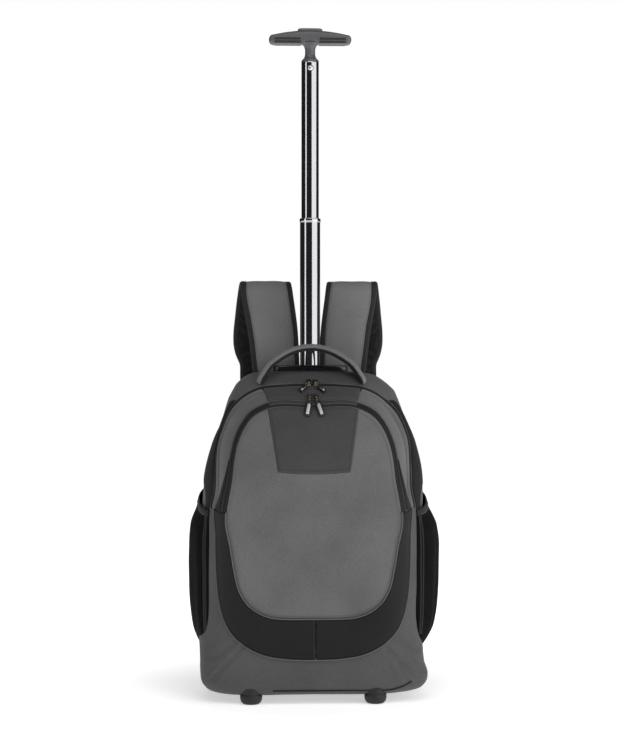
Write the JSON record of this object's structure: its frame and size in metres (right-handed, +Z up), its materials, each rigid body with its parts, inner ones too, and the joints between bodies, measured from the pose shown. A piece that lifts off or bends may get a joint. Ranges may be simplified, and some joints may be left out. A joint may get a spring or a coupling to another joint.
{
  "type": "wheeled backpack",
  "caption": "Soft wheeled backpack with a domed front pocket, net side pockets, raised shoulder straps and a single telescoping pole with a T-grip.",
  "frame": {"origin": "on the floor, under the middle of the whole bag's box", "axes": "+Z up along the pole, +Y towards the back pad and straps, +X to the right as seen from the front"},
  "size_m": [0.3952, 0.2916, 1.06],
  "materials": {
    "grey_cloth": "woven polyester, matte",
    "pale_cloth": "woven polyester, matte",
    "dark_cloth": "woven polyester, matte",
    "black_cloth": "woven polyester, matte",
    "net": "knitted mesh",
    "black_trim": "woven tape and webbing",
    "satin_plastic": "satin moulding",
    "black_plastic": "fine grained moulding",
    "black_chrome": "polished black plating",
    "gunmetal": "dark plated die casting",
    "rubber": "matte moulding"
  },
  "bodies": {
    "root": {"main_compartment": "grey_cloth", "front_pocket": "pale_cloth", "lower_panel": "black_cloth", "trapezoid_patch": "dark_cloth", "top_panel_front": "dark_cloth", "top_panel_rear": "dark_cloth", "front_zip": "black_trim", "main_zip": "black_trim", "back_pad": "black_cloth", "carry_handle": "pale_cloth", "side_band_left": "black_cloth", "side_band_right": "black_cloth", "net_pocket_left": "net", "net_pocket_right": "net", "net_binding_left": "black_trim", "net_binding_right": "black_trim", "shoulder_strap_left": "pale_cloth", "shoulder_strap_right": "pale_cloth", "ladder_lock_left": "black_plastic", "ladder_lock_right": "black_plastic", "lower_webbing_left": "black_trim", "lower_webbing_right": "black_trim", "foot_left": "black_plastic", "foot_right": "black_plastic", "wheel_housing_left": "black_plastic", "wheel_housing_right": "black_plastic", "axle_left": "gunmetal", "axle_right": "gunmetal", "main_zip_left_slider": "gunmetal", "main_zip_left_tab": "rubber", "main_zip_right_slider": "gunmetal", "main_zip_right_tab": "rubber", "front_zip_left_slider": "gunmetal", "front_zip_left_tab": "rubber", "front_zip_right_slider": "gunmetal", "front_zip_right_tab": "rubber", "handle_port": "black_plastic", "guide_tube": "black_chrome"},
    "lower_pole": {"lower_tube": "black_chrome"},
    "upper_pole": {"upper_tube": "black_chrome", "t_grip": "satin_plastic", "rivet": "gunmetal"},
    "button": {"grip_button": "satin_plastic"},
    "left_wheel": {"wheel_left": "rubber"},
    "right_wheel": {"wheel_right": "rubber"}
  },
  "joints": [
    {"name": "lower_pole_slide", "type": "slide", "parent": "root", "child": "lower_pole", "axis": [0, 0, 1], "range_m": [-0.23, 0]},
    {"name": "upper_pole_slide", "type": "slide", "parent": "lower_pole", "child": "upper_pole", "axis": [0, 0, 1], "range_m": [-0.235, 0]},
    {"name": "button_press", "type": "slide", "parent": "upper_pole", "child": "button", "axis": [0, 0, 1], "range_m": [-0.003, 0], "stiffness_N_per_m": 1500},
    {"name": "left_wheel_spin", "type": "hinge", "parent": "root", "child": "left_wheel", "pos_m": [-0.12, 0.0582, 0.036], "axis": [1, 0, 0], "continuous": true},
    {"name": "right_wheel_spin", "type": "hinge", "parent": "root", "child": "right_wheel", "pos_m": [0.12, 0.0582, 0.036], "axis": [1, 0, 0], "continuous": true}
  ]
}
